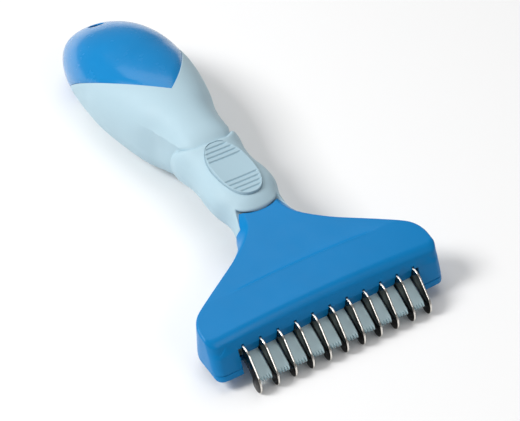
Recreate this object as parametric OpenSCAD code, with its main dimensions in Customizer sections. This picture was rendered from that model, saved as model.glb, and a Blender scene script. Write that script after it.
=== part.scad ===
// Dematting comb: curved steel blades and serrated guard fingers in a wide head, on a soft palm grip.
// Sizes are millimetres. X runs across the head, Y from the blade tips to the tail, and Z is up.
// The comb lies on its blade tips and palm swell, with the origin under the middle of its length.

/* [Overall] */
// Length from the blade tips to the tail
overall_l = 190; // [187:1:193]
// Width across the head bar
head_w = 90; // [88:0.2:94]

/* [Blades] */
// Number of steel blades
blade_count = 11; // [7:2:11]
// Distance between neighbouring blades
blade_pitch = 6.7; // [6.5:0.1:6.8]
// Thickness of the blade sheet
blade_t = 0.7; // [0.5:0.1:0.8]
// Radius of the rounded blade tip
tip_r = 2.6; // [2.4:0.1:2.6]
// Radius of the two rods that carry the blades
rod_r = 1.2; // [1:0.1:1.3]

/* [Guard fingers] */
// Width of one guard finger
finger_w = 5.3; // [4.8:0.1:5.4]
// Number of saw teeth on a finger's end
finger_teeth = 5; // [3:1:6]
// Slope of the fingers below the horizontal
finger_a = 25.7; // [24:0.1:27]

/* [Head] */
// Half width of the head where it meets the grip
neck_hw = 10.5; // [10.2:0.1:10.6]
// Angle between the rear flank of the head and the bar
flare_a = 31.8; // [31:0.2:33]
// Height of the parting line of the bottom cover
parting_z = 6.4; // [6.2:0.1:6.5]

/* [Handle] */
// Half width of the palm swell
swell_hw = 21.9; // [21:0.1:23]
// Radius of the hang hole
hang_r = 3; // [2:0.25:3.5]
// Distance from the blade tips to the point of the tail cap's chevron
chevron_y = 116; // [112:0.2:118]
// Length of the thumb pad
pad_l = 28; // [24:1:30]
// Width of the thumb pad
pad_w = 14.6; // [12:0.2:15]

/* [Hidden] */
// Gap between neighbouring pieces
gap = 0.1;
eps = 0.01;
far = 200;

// Blade stack, in distances from the blade tips and heights above the table
bay_side = 2;
bay_hw = (blade_count - 1) / 2 * blade_pitch + bay_side;
bay_y1 = 24;
bay_top = 15.4;
root_y0 = 13.4;
root_y1 = 23.5;
root_top = 14.8;
root_z0 = parting_z + 0.2;
rod_y = [16.2, 21];
rod_z = 11.2;
rod_l = 2 * bay_hw + 4.4;
rod_fit = 0.05;
bend_a = 42.7;
bend_r = 5;
bend_c = [10.5, 8.2];
nose_r = 6;
nose_c = [nose_r, 2.67];
inner_teeth = 9;
inner_tooth_h = 0.45;
inner_sag = 1.3;

finger_tip = [2.2, 3.9];
finger_l = 13.6;
finger_t = 1.5;
finger_tooth_l = 1.7;

// Head
head_front_y = 7.4;
head_bottom_z = 4.2;
face_top = [13.7, 18.4];
crease = [27.8, 21.3];
neck_top = [56, 23.7];
neck_bottom_z = 9.6;
head_end_y = 60;
flare_y0 = 51.9;
shoulder_r = 9;
neck_r = 26;
edge_r = 1.8;
neck_edge_r = 6.2;
cover_end_y = 46;
tab_y = 10.9;
tab_t = 1.5;
tab_z0 = 9.2;
tab_z1 = 13.7;
slot_w = 1.1;
wall = 2;
cover_screw_at = [[-40, 17], [40, 17], [-14, 33], [14, 33]];
pilot_top_z = 13.5;

// Handle: centre line of the rigid core and stations [y, half width, top, bottom] of the outer skin
core_z = 19;
tail_y0 = 146;
tail_z = 17.4;
tail_h = 17.1;
tail_droop = 8;
tail_droop_power = 1.7;
tail_round = 0.56;
skin = [
    [48, 12.6, 23.8, 9.2], [54, 10.9, 25.2, 10.2], [59, 10.7, 27.2, 11.2], [65, 12.6, 28.5, 12],
    [71, 12.9, 28.8, 12], [78, 12, 28.9, 10.9], [84, 12.1, 29.7, 10.2], [91, 13.3, 31.4, 8.9],
    [98, 12.4, 32.3, 6.4], [106, 13.3, 33.4, 3], [114, 16.4, 34.4, 1.2], [126, swell_hw - 1.8, 35.2, 0.6],
    [138, swell_hw, 35, 0.3],
    [tail_y0, swell_hw, tail_z + tail_h, tail_z - tail_h]
];
skin_power = 2.2;
ring_sides = 32;
body_rings = 30;
tail_rings = 12;
tongue_tip_y = 54.2;
cusp = [8.2, 58.3];
skirt = [10.2, 51.5];
chevron_z = 34.5;
chevron_lean = 52.4;
chevron_slope = 0.55;
hang_y = 176;

// Rigid core: [y, radius] along its length
core_line = [
    [60.5, 5.6], [80, 5.6], [92, 7.4], [104, 10.2], [114, 12.4], [126, 13.2], [140, 13.2],
    [156, 11], [170, 6.5]
];
core_hollow_y = [78, 150];
boss_r = 4;
tongue_r = 3.5;
tongue_end_y = 76;
pin_y = 68;
pin_r = 1;
pin_reach = 4.8;
core_screw_y = [98, 132];
cap_screw_y = 165;
cap_seat_z = 4;
cap_screw_l = 10;
screw_r = 1.4;
screw_fit = 0.15;
screw_head_r = 2.6;
screw_head_t = 1.6;
screw_head_fit = 0.25;
cross_l = 3.2;
cross_w = 0.7;
cross_d = 0.9;

pad_y = 72.9;
pad_top_z = 29;
pad_a = 3;
pad_floor = 25.6;
pad_groove_pitch = 2.1;
pad_groove_w = 0.8;
pad_groove_d = 0.45;
pad_grooves = 4;
pad_round = 0.85;

BLUE = [0.10, 0.45, 0.78];
PALE_BLUE = [0.74, 0.87, 0.92];
PAD_BLUE = [0.66, 0.79, 0.84];
FINGER_BLUE = [0.62, 0.73, 0.77];
STEEL = [0.75, 0.76, 0.78];
CORE_WHITE = [0.85, 0.86, 0.86];

function two_digits(i) = str(i < 10 ? "0" : "", i);
function blade_name(i) = str("blade_", two_digits(i));
function finger_name(i) = str("guard_finger_", two_digits(i));
function blade_x(i) = (i - (blade_count + 1) / 2) * blade_pitch;

// ---- Shared geometry ----

// Moves a shape from distances measured from the blade tips into the frame
module from_tips() translate([0, -overall_l / 2, 0]) children();

// Slab of thickness t centred on x, with its outline given as [y, z]
module across(x, t) translate([x - t / 2, 0, 0]) rotate([90, 0, 90]) linear_extrude(t) children();

// Solid of revolution about the core's centre line, with its outline given as [radius, y]
module about_core() translate([0, 0, core_z]) rotate([-90, 0, 0]) rotate_extrude($fn = 64) children();

module upright(x, y, z0, z1, r) translate([x, y, z0]) cylinder(h = z1 - z0, r = r, $fn = 40);

function arc(c, r, a0, a1, n) = [for (k = [0:n]) let (a = a0 + (a1 - a0) * k / n) c + r * [cos(a), sin(a)]];

// Smooth curve through stations whose first value is y
function span(st, y, k = 0) = (k >= len(st) - 2 || y < st[k + 1][0]) ? k : span(st, y, k + 1);
function rise(st, k) =
    let (a = st[max(k - 1, 0)], b = st[min(k + 1, len(st) - 1)])
    (b - a) / (b[0] - a[0]);
function along(st, y) =
    let (k = span(st, y), h = st[k + 1][0] - st[k][0], t = (y - st[k][0]) / h)
    st[k] * (2 * t^3 - 3 * t^2 + 1) + rise(st, k) * h * (t^3 - 2 * t^2 + t)
    + st[k + 1] * (3 * t^2 - 2 * t^3) + rise(st, k + 1) * h * (t^3 - t^2);

// Closed skin through rings that all have the same number of points
module skin_solid(rings) {
    n = len(rings[0]);
    m = len(rings);
    polyhedron(
        points = [for (r = rings) for (p = r) p],
        faces = concat(
            [[for (k = [0:n - 1]) k]],
            [for (i = [0:m - 2]) for (k = [0:n - 1]) [i * n + k, (i + 1) * n + k, i * n + (k + 1) % n]],
            [for (i = [0:m - 2]) for (k = [0:n - 1])
                [(i + 1) * n + k, (i + 1) * n + (k + 1) % n, i * n + (k + 1) % n]],
            [[for (k = [n - 1:-1:0]) (m - 1) * n + k]]
        )
    );
}

// ---- Head ----

flare_t = tan(flare_a);
shoulder_x = head_w / 2 - shoulder_r;
shoulder_c = [shoulder_x, flare_y0 - shoulder_x * flare_t - shoulder_r / cos(flare_a)];
neck_x = neck_hw + neck_r;
neck_c = [neck_x, flare_y0 - neck_x * flare_t + neck_r / cos(flare_a)];
shoulder_end_y = shoulder_c[1] + shoulder_r * cos(flare_a);
neck_start_y = neck_c[1] - neck_r * cos(flare_a);

// Half width of the head at a distance from the blade tips
function head_hw(y) =
    y < shoulder_c[1] ? head_w / 2
    : y < shoulder_end_y ? shoulder_c[0] + sqrt(shoulder_r^2 - (y - shoulder_c[1])^2)
    : y < neck_start_y ? (flare_y0 - y) / flare_t
    : y < neck_c[1] ? neck_c[0] - sqrt(neck_r^2 - (neck_c[1] - y)^2)
    : neck_hw;

function on_line(a, b, y) = a[1] + (b[1] - a[1]) * (y - a[0]) / (b[0] - a[0]);
function head_top(y) = y < crease[0] ? on_line(face_top, crease, y) : on_line(crease, neck_top, y);
function neck_part(y) = max(0, min(1, (y - crease[0]) / (cover_end_y + 4 - crease[0])));
function head_bottom(y) = head_bottom_z + (neck_bottom_z - head_bottom_z) * neck_part(y)^2;
function head_edge(y) = edge_r + (neck_edge_r - edge_r) * neck_part(y)^2;

// Rounded rectangle across the head
function head_ring(y) =
    let (r = head_edge(y), w = head_hw(y) - r, t = head_top(y) - r, b = head_bottom(y) + r)
    [for (q = [0:3]) let (c = [q == 0 || q == 3 ? w : -w, q < 2 ? t : b])
        for (p = arc(c, r, 90 * q, 90 * q + 90, 5)) [-p[0], y, p[1]]];

head_ring_y = concat(
    [5, shoulder_c[1]],
    [for (k = [1:4]) shoulder_c[1] + (shoulder_end_y - shoulder_c[1]) * sin(22 * k)],
    [crease[0], (crease[0] + neck_start_y) / 2],
    [for (k = [0:7]) neck_start_y + (head_end_y - neck_start_y) * k / 7]
);

module head_outer() {
    intersection() {
        skin_solid([for (y = head_ring_y) head_ring(y)]);
        across(0, far) polygon([
            [head_front_y, head_bottom_z - 5], [head_front_y, head_bottom_z], face_top + [0, eps],
            [face_top[0] + 2, 40], [70, 40], [70, head_bottom_z - 5]
        ]);
    }
}

// Plan of everything behind the line where the grip begins
module grip_plan(shift) {
    lobe_l = cusp[1] - tongue_tip_y;
    lobe = [for (k = [0:8]) let (a = 90 * k / 8) [cusp[0] * sin(a), cusp[1] - lobe_l * cos(a)]];
    half = concat(lobe, [skirt, [20, skirt[1] - 1]]);
    mirrored = [for (k = [len(half) - 1:-1:1]) [-half[k][0], half[k][1]]];
    translate([0, -shift]) polygon(concat(half, [[20, 90], [-20, 90]], mirrored));
}

// Bay for the blade stack, with its mouth in front of the tabs and under them
module blade_bay() across(0, 2 * bay_hw) polygon([
    [0, 0], [0, tab_z1], [tab_y, tab_z1], [tab_y, tab_z0], [tab_y + tab_t, tab_z0],
    [tab_y + tab_t, bay_top], [bay_y1, bay_top], [bay_y1, 0]
]);

module head_shell() {
    color(BLUE) from_tips() {
        difference() {
            union() {
                difference() {
                    head_outer();
                    translate([-far / 2, -far / 2, -far / 2])
                        cube([far, far / 2 + cover_end_y, far / 2 + parting_z]);
                    translate([0, 0, -1]) linear_extrude(60) grip_plan(gap);
                    blade_bay();
                    // Hollow under the neck plate
                    across(0, 14) polygon([
                        [bay_y1 + wall, 0], [bay_y1 + wall, bay_top],
                        [cover_end_y - wall, bay_top + 2], [cover_end_y - wall, 0]
                    ]);
                }
                translate([0, tongue_tip_y - 6, core_z]) rotate([-90, 0, 0])
                    cylinder(h = tongue_end_y - tongue_tip_y + 6, r = tongue_r, $fn = 48);
            }
            for (i = [1:blade_count])
                across(blade_x(i), slot_w) translate([tab_y - 1, 0]) square([root_y0 - tab_y + 1, tab_z1]);
            // Cradles for the rod ends, open from below
            for (y = rod_y) {
                cradle_r = rod_r + rod_fit;
                across(0, rod_l + 2 * gap) translate([y, rod_z]) circle(r = cradle_r, $fn = 40);
                across(0, rod_l + 2 * gap) translate([y - cradle_r, 0]) square([2 * cradle_r, rod_z]);
            }
            for (p = cover_screw_at) upright(p[0], p[1], 0, pilot_top_z, screw_r + rod_fit);
            upright(0, pin_y, 0, 40, pin_r + rod_fit);
        }
    }
}

module head_cover() {
    color(BLUE) from_tips()
        difference() {
            intersection() {
                head_outer();
                translate([-far / 2, 0, 0]) cube([far, cover_end_y - gap, parting_z - gap / 2]);
            }
            across(0, 2 * bay_hw) square([root_y0, far]);
            for (p = cover_screw_at) {
                upright(p[0], p[1], 0, 20, screw_r + screw_fit);
                upright(p[0], p[1], 0, cover_seat(p[1]), screw_head_r + screw_head_fit);
            }
        }
}

// ---- Blade stack ----

module rod_holes(r) for (y = rod_y) translate([y, rod_z]) circle(r = r, $fn = 40);

// Serrated cutting edge from the tip back to the root, hollowed towards the spine
function inner_edge(a, b) =
    let (d = b - a, n = [-d[1], d[0]] / norm(d))
    [for (k = [1:2 * inner_teeth - 1]) let (s = k / (2 * inner_teeth))
        a + d * s + n * (4 * inner_sag * s * (1 - s) + (k % 2) * inner_tooth_h)];

module blade_outline() {
    tip = arc([tip_r, tip_r], tip_r, 180, 375, 16);
    root_front = [root_y0, root_z0];
    difference() {
        polygon(concat(
            arc(bend_c, bend_r, 90, 90 + bend_a, 8),
            arc(nose_c, nose_r, 90 + bend_a, 180, 8),
            tip,
            inner_edge(tip[16], root_front),
            [root_front, [root_y1, root_z0], [root_y1, root_top], [root_y0, root_top],
                [root_y0 - 0.4, bend_c[1] + bend_r]]
        ));
        rod_holes(rod_r + rod_fit);
    }
}

module blade(i) color(STEEL) from_tips() across(blade_x(i), blade_t) blade_outline();

module finger_plan() {
    n = 2 * finger_teeth;
    polygon(concat(
        [for (k = [0:n]) [finger_w * (k / n - 0.5), k % 2 == 1 ? 0 : finger_tooth_l]],
        [[finger_w / 2, finger_l], [-finger_w / 2, finger_l]]
    ));
}

module guard_finger(i) {
    x = (blade_x(i) + blade_x(i + 1)) / 2;
    color(FINGER_BLUE) from_tips() {
        difference() {
            union() {
                across(x, blade_pitch - blade_t - gap)
                    polygon([[root_y0 + 0.2, root_z0], [root_y1, root_z0], [root_y1, root_top],
                        [root_y0 + 0.2, root_top]]);
                translate([x, finger_tip[0], finger_tip[1]]) rotate([finger_a, 0, 0])
                    translate([0, 0, -finger_t]) linear_extrude(finger_t) finger_plan();
            }
            for (y = rod_y)
                across(x, blade_pitch) translate([y, rod_z]) circle(r = rod_r + rod_fit, $fn = 40);
        }
    }
}

module end_plate(side) {
    t = bay_side - blade_t / 2 - gap;
    color(FINGER_BLUE) from_tips()
        across(side * (bay_hw - t / 2 - gap / 2), t) difference() {
            translate([root_y0 + 0.2, root_z0]) square([root_y1 - root_y0 - 0.2, root_top - root_z0]);
            rod_holes(rod_r + rod_fit);
        }
}

module rod(y) color(STEEL) from_tips() across(0, rod_l) translate([y, rod_z]) circle(r = rod_r, $fn = 40);

// ---- Screws and pin ----

// Underside of the screw head's seat in the cover
function cover_seat(y) = head_bottom(y) + screw_head_t - 0.4;

module screw(z, l) {
    translate([0, 0, z]) difference() {
        union() {
            cylinder(h = l, r = screw_r, $fn = 40);
            translate([0, 0, -screw_head_t]) cylinder(h = screw_head_t, r = screw_head_r, $fn = 40);
        }
        for (a = [0, 90])
            rotate([0, 0, a]) translate([-cross_l / 2, -cross_w / 2, -screw_head_t - eps])
                cube([cross_l, cross_w, cross_d]);
    }
}

module cover_screws() color(STEEL) from_tips() for (p = cover_screw_at)
    translate([p[0], p[1], 0]) screw(cover_seat(p[1]), 6);

module core_screws() color(STEEL) from_tips() for (y = core_screw_y)
    translate([0, y, 0]) screw(core_seat(y), core_r(y) + 1);

module cap_screw() color(STEEL) from_tips() translate([0, cap_screw_y, 0]) screw(cap_seat_z, cap_screw_l);

module tongue_pin() color(STEEL) from_tips() upright(0, pin_y, core_z - pin_reach, core_z + pin_reach, pin_r);

// ---- Handle ----

function core_r(y) = let (k = span(core_line, y)) on_line(core_line[k], core_line[k + 1], y);

// Seat of a core screw, below the middle of the core
function core_seat(y) = core_z - core_r(y) + 4;

module core_solid(grow) {
    first = core_line[0];
    last = core_line[len(core_line) - 1];
    about_core() polygon(concat(
        [[0, first[0] - grow]],
        [[first[1] + grow, first[0] - grow]],
        [for (p = core_line) [p[1] + grow, p[0]]],
        [[last[1] + grow, last[0] + grow], [0, last[0] + grow]]
    ));
}

module core_hollow() {
    y0 = core_hollow_y[0];
    y1 = core_hollow_y[1];
    about_core() polygon(concat(
        [[0, y0], [core_r(y0) - wall, y0]],
        [for (p = core_line) if (p[0] > y0 && p[0] < y1) [p[1] - wall, p[0]]],
        [[core_r(y1) - wall, y1], [0, y1]]
    ));
}

module tongue_socket(grow) translate([0, tongue_tip_y - 8, core_z]) rotate([-90, 0, 0])
    cylinder(h = tongue_end_y - tongue_tip_y + 8 + 0.5, r = tongue_r + grow, $fn = 48);

// Upper (+1) or lower (-1) half of the rigid core
module core_half(side) {
    z0 = side > 0 ? core_z + gap / 4 : core_z - 30 - gap / 4;
    difference() {
        intersection() {
            core_solid(0);
            union() {
                difference() {
                    translate([-30, 50, z0]) cube([60, 130, 30]);
                    core_hollow();
                }
                for (y = core_screw_y)
                    intersection() {
                        upright(0, y, 0, 40, boss_r);
                        translate([-30, 50, z0]) cube([60, 130, 30]);
                    }
            }
        }
        tongue_socket(rod_fit);
        upright(0, pin_y, core_z - pin_reach - rod_fit, core_z + pin_reach + rod_fit, pin_r + rod_fit);
    }
}

module core_upper() color(CORE_WHITE) from_tips() difference() {
    core_half(1);
    for (y = core_screw_y) upright(0, y, 0, core_z + 6, screw_r + rod_fit);
}

module core_lower() color(CORE_WHITE) from_tips() difference() {
    core_half(-1);
    for (y = core_screw_y) {
        upright(0, y, 0, 40, screw_r + screw_fit);
        upright(0, y, 0, core_seat(y), screw_head_r + screw_head_fit);
    }
    upright(0, cap_screw_y, 0, cap_seat_z + cap_screw_l + 0.5, screw_r + rod_fit);
}

// Closed curve of the outer skin at y: half width w, top t, bottom b
function skin_ring(y, w, t, b) = [for (k = [0:ring_sides - 1])
    let (a = -360 * k / ring_sides, c = rounded(cos(a)), s = rounded(sin(a)))
    [w * c, y, (t + b) / 2 + (t - b) / 2 * s]];
function rounded(v) = sign(v) * abs(v)^(2 / skin_power);

function body_ring(y) = let (s = along(skin, y)) skin_ring(y, s[1], s[2], s[3]);

// The tail closes as an egg whose middle sinks towards the table
function tail_ring(u) =
    let (
        s = sin(u),
        y = tail_y0 + (overall_l - tail_y0) * s,
        h = tail_h * (1 - s * s)^tail_round,
        z = tail_z - tail_droop * s^tail_droop_power
    )
    skin_ring(y, swell_hw * cos(u), z + h, z - h);

module handle_outer() skin_solid(concat(
    [for (k = [0:body_rings]) body_ring(skin[0][0] + (tail_y0 - skin[0][0]) * k / body_rings)],
    [for (k = [1:tail_rings]) tail_ring(89 * k / tail_rings)]
));

// Everything behind the tail cap's chevron, which points to the head and leans back as it goes down
module cap_wedge(shift) translate([0, chevron_y - shift, chevron_z]) rotate([chevron_lean, 0, 0])
    translate([0, 0, -far]) linear_extrude(2 * far)
        polygon([[0, 0], [40, 40 * chevron_slope], [40, far], [-40, far], [-40, 40 * chevron_slope]]);

// Oval with round ends and gently bowed sides
module pad_oval(w, l) polygon([for (k = [0:47]) let (a = 360 * k / 48, c = cos(a), s = sin(a))
    [w / 2 * sign(c) * abs(c)^pad_round, l / 2 * sign(s) * abs(s)^pad_round]]);

module pad_prism(grow, z0, z1) translate([0, pad_y, z0])
    linear_extrude(z1 - z0) pad_oval(pad_w + 2 * grow, pad_l + 2 * grow);

module grip() color(PALE_BLUE) from_tips() difference() {
    intersection() {
        handle_outer();
        translate([0, 0, -1]) linear_extrude(60) union() {
            grip_plan(0);
            translate([-30, 89]) square([60, 80]);
        }
    }
    cap_wedge(gap);
    core_solid(gap / 2);
    tongue_socket(gap / 2);
    pad_prism(gap / 2, pad_floor, 40);
}

module thumb_pad() color(PAD_BLUE) from_tips() difference() {
    pad_prism(-gap / 2, pad_floor + gap / 2, 40);
    translate([0, pad_y, pad_top_z]) rotate([pad_a, 0, 0]) {
        translate([-20, -30, 0]) cube([40, 60, 20]);
        for (side = [-1, 1]) for (k = [1:pad_grooves])
            translate([-20, side * (pad_l / 2 - k * pad_groove_pitch) - pad_groove_w / 2, -pad_groove_d])
                cube([40, pad_groove_w, 1]);
    }
}

module tail_cap() color(BLUE) from_tips() difference() {
    intersection() {
        handle_outer();
        cap_wedge(0);
    }
    core_solid(gap / 2);
    upright(0, hang_y, -1, 60, hang_r);
    upright(0, cap_screw_y, -1, cap_seat_z, screw_head_r + screw_head_fit);
    upright(0, cap_screw_y, -1, core_z, screw_r + screw_fit);
}

head_shell();
head_cover();
grip();
thumb_pad();
tail_cap();
core_upper();
core_lower();
rod(rod_y[0]);  // front_rod
rod(rod_y[1]);  // rear_rod
end_plate(-1);  // end_plate_left
end_plate(1);  // end_plate_right
cover_screws();
core_screws();
cap_screw();
tongue_pin();
for (i = [1:blade_count]) blade(i);
for (i = [1:blade_count - 1]) guard_finger(i);
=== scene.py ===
"""Dematting comb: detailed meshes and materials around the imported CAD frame.

Helper functions work in millimetres: x across the head, y from the blade tips, z above the table.
"""

import math

import bmesh
import bpy
from mathutils import Matrix, Vector


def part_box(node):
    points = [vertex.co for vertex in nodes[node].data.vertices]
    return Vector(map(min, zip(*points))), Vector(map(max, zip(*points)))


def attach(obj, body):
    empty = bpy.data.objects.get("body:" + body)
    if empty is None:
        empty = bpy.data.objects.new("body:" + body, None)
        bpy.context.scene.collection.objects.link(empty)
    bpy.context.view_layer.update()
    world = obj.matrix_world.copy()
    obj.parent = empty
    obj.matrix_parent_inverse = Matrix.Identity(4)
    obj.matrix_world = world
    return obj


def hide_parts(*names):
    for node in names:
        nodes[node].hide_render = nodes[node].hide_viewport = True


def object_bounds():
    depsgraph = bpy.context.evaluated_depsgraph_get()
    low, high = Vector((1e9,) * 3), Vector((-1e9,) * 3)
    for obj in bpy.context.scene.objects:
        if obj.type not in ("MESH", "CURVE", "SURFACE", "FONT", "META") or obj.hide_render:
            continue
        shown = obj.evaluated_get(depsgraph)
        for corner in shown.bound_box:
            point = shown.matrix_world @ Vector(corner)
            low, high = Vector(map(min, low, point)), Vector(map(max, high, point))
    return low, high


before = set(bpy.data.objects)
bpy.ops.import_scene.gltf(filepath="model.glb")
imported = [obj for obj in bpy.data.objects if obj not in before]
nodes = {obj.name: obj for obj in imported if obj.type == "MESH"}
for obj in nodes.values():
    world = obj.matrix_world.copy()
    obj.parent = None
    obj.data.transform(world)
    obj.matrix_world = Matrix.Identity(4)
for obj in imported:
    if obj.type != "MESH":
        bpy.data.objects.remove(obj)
cad_lo, cad_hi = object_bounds()

MM = 0.001
# Edges shorter than this many metres are slivers
SLIVER = 4e-6
TIPS_Y = cad_lo.y
BODY = "root"
scene = bpy.context.scene


def place(p):
    """A point in millimetres from the blade tips, in the row frame."""
    return (p[0] * MM, TIPS_Y + p[1] * MM, p[2] * MM)


def node_box(name):
    """A CAD node's corners, in millimetres from the blade tips."""
    lo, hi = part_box(name)
    shift = Vector((0, TIPS_Y, 0))
    return (lo - shift) / MM, (hi - shift) / MM


# ---- Sizes, in millimetres ----

HEAD_HI = node_box("head_shell")[1]
CAP_HI = node_box("tail_cap")[1]
PAD_LO, PAD_HI = node_box("thumb_pad")
STACK_LO = node_box("guard_finger_01")[0]
BLADES = [n for n in sorted(nodes) if n.startswith("blade_")]
FINGERS = [n for n in sorted(nodes) if n.startswith("guard_finger_")]

TAIL_END = CAP_HI.y
SWELL_HW = CAP_HI.x
TAIL_Y0 = 146
TAIL_Z = 17.4
TAIL_H = 17.1
TAIL_DROOP = 8
TAIL_DROOP_POWER = 1.7
TAIL_ROUND = 0.56
SKIN_POWER = 2.2
# Handle: y, half width, top, bottom
SKIN = [
    (48, 12.6, 23.8, 9.2), (54, 10.9, 25.2, 10.2), (59, 10.7, 27.2, 11.2), (65, 12.6, 28.5, 12),
    (71, 12.9, 28.8, 12), (78, 12, 28.9, 10.9), (84, 12.1, 29.7, 10.2), (91, 13.3, 31.4, 8.9),
    (98, 12.4, 32.3, 6.4), (106, 13.3, 33.4, 3), (114, 16.4, 34.4, 1.2),
    (126, SWELL_HW - 1.8, 35.2, 0.6), (138, SWELL_HW, 35, 0.3),
    (TAIL_Y0, SWELL_HW, TAIL_Z + TAIL_H, TAIL_Z - TAIL_H),
]
LOBE_TIP_Y = 54.2
CUSP = (8.2, 58.3)
SKIRT = (10.2, 51.5)
CHEVRON_Y = 116
CHEVRON_Z = 34.5
CHEVRON_LEAN = 1.3
CHEVRON_SLOPE = 0.9
HANG_Y = 176
HANG_R = 3.0
CORE_Z = 19
# Pockets round the rigid core: y, radius
CORE = [
    (60.6, 5.7), (80, 5.7), (92, 7.5), (104, 10.3), (114, 12.5),
    (126, 13.3), (140, 13.3), (156, 11.1), (170, 6.6),
]
CORE_WIDEST_Y = 126
TONGUE_HOLE_R = 3.6
SEAM_GAP = 0.12
SCREW_SEAT_R = 2.85
SCREW_HOLE_R = 1.55
SCREW_HOLE_TOP = 12

# ---- Mesh helpers ----


def lerp(a, b, t):
    return a + (b - a) * t


def clamp(t):
    return max(0.0, min(1.0, t))


def smooth(t):
    t = clamp(t)
    return t * t * (3 - 2 * t)


def rolled(s, radius):
    """How far a rounded edge has dropped at the distance s from it."""
    return radius * (1 - math.sqrt(max(0.0, 1 - (1 - s / radius) ** 2))) if s < radius else 0.0


def signed_power(v, p):
    return math.copysign(abs(v) ** p, v)


def span(table, y):
    """Index of the stretch of a station table that holds y."""
    k = 0
    while k < len(table) - 2 and y >= table[k + 1][0]:
        k += 1
    return k


def through(table, y):
    """Smooth curve through stations whose first value is y."""
    k = span(table, y)
    a, b = table[k], table[k + 1]
    h = b[0] - a[0]
    t = (y - a[0]) / h

    def rise(i, j):
        lo, hi = table[max(i - 1, 0)], table[min(i + 1, len(table) - 1)]
        return (hi[j] - lo[j]) / (hi[0] - lo[0])

    return [
        a[j] * (2 * t**3 - 3 * t**2 + 1) + rise(k, j) * h * (t**3 - 2 * t**2 + t)
        + b[j] * (3 * t**2 - 2 * t**3) + rise(k + 1, j) * h * (t**3 - t**2)
        for j in range(1, len(a))
    ]


def along(table, y):
    """Straight lines through stations of [y, value], held beyond the ends."""
    k = span(table, y)
    a, b = table[k], table[k + 1]
    return lerp(a[1], b[1], clamp((y - a[0]) / (b[0] - a[0])))


def make(name, points, faces, node=None, material=None, sharp=None):
    """A closed mesh piece from points in millimetres. It stands for the CAD node if one is named."""
    mesh = bpy.data.meshes.new(name)
    mesh.from_pydata([place(p) for p in points], [], faces)
    bm = bmesh.new()
    bm.from_mesh(mesh)
    bmesh.ops.remove_doubles(bm, verts=bm.verts, dist=1e-6)
    bmesh.ops.dissolve_degenerate(bm, edges=bm.edges, dist=1e-6)
    bmesh.ops.recalc_face_normals(bm, faces=bm.faces)
    bm.to_mesh(mesh)
    bm.free()
    obj = bpy.data.objects.new(name, mesh)
    scene.collection.objects.link(obj)
    if material:
        mesh.materials.append(material)
    if node:
        settle(obj, node, sharp)
    return obj


def settle(obj, node, sharp=35):
    """Shades a finished piece and puts it on its body in place of its CAD node."""
    obj.data.shade_smooth()
    if sharp:
        obj.data.set_sharp_from_angle(angle=math.radians(sharp))
    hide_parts(node)
    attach(obj, BODY)


def loft(rings, looped=False):
    """Points and faces through closed rings with the same number of points."""
    n = len(rings[0])
    rows = len(rings)
    points = [p for ring in rings for p in ring]
    faces = []
    for i in range(rows if looped else rows - 1):
        j = (i + 1) % rows
        for k in range(n):
            m = (k + 1) % n
            faces.append((i * n + k, i * n + m, j * n + m, j * n + k))
    if not looped:
        faces.append(tuple(range(n - 1, -1, -1)))
        faces.append(tuple(range((rows - 1) * n, rows * n)))
    return points, faces


def apply_modifiers(obj):
    graph = bpy.context.evaluated_depsgraph_get()
    mesh = bpy.data.meshes.new_from_object(obj.evaluated_get(graph))
    obj.modifiers.clear()
    obj.data = mesh


def cut(obj, *tools):
    """Cuts closed meshes out of a piece and removes them."""
    for tool in tools:
        modifier = obj.modifiers.new("cut", "BOOLEAN")
        modifier.operation = "DIFFERENCE"
        modifier.solver = "EXACT"
        modifier.object = tool
        apply_modifiers(obj)
        bpy.data.objects.remove(tool)
    clean(obj)


def clean(obj):
    """Merges the slivers that a cut leaves, and triangulates, so that the mesh stays closed."""
    bm = bmesh.new()
    bm.from_mesh(obj.data)
    bmesh.ops.remove_doubles(bm, verts=bm.verts, dist=SLIVER)
    bmesh.ops.dissolve_degenerate(bm, edges=bm.edges, dist=SLIVER)
    bmesh.ops.triangulate(bm, faces=[f for f in bm.faces if len(f.verts) > 4])
    bmesh.ops.remove_doubles(bm, verts=bm.verts, dist=SLIVER)
    bmesh.ops.dissolve_degenerate(bm, edges=bm.edges, dist=SLIVER)
    bm.to_mesh(obj.data)
    bm.free()


# ---- Materials ----


def principled(name):
    material = bpy.data.materials.new(name)
    material.use_nodes = True
    tree = material.node_tree
    return material, tree, tree.nodes["Principled BSDF"]


def noise(tree, size, detail=3, stretch=(1, 1, 1)):
    """Noise in object space whose features are about size millimetres across."""
    where = tree.nodes.new("ShaderNodeTexCoord")
    scale = tree.nodes.new("ShaderNodeMapping")
    scale.inputs["Scale"].default_value = [s / (size * MM) for s in stretch]
    texture = tree.nodes.new("ShaderNodeTexNoise")
    texture.inputs["Scale"].default_value = 1
    texture.inputs["Detail"].default_value = detail
    tree.links.new(where.outputs["Object"], scale.inputs["Vector"])
    tree.links.new(scale.outputs["Vector"], texture.inputs["Vector"])
    return texture.outputs["Fac"]


def ranged(tree, value, lo, hi, from_lo=0.3, from_hi=0.7):
    node = tree.nodes.new("ShaderNodeMapRange")
    node.inputs["From Min"].default_value = from_lo
    node.inputs["From Max"].default_value = from_hi
    node.inputs["To Min"].default_value = lo
    node.inputs["To Max"].default_value = hi
    tree.links.new(value, node.inputs["Value"])
    return node.outputs["Result"]


def blend_colour(tree, factor, a, b):
    node = tree.nodes.new("ShaderNodeMix")
    node.data_type = "RGBA"
    node.inputs["A"].default_value = (*a, 1)
    node.inputs["B"].default_value = (*b, 1)
    tree.links.new(factor, node.inputs["Factor"])
    return node.outputs["Result"]


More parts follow.
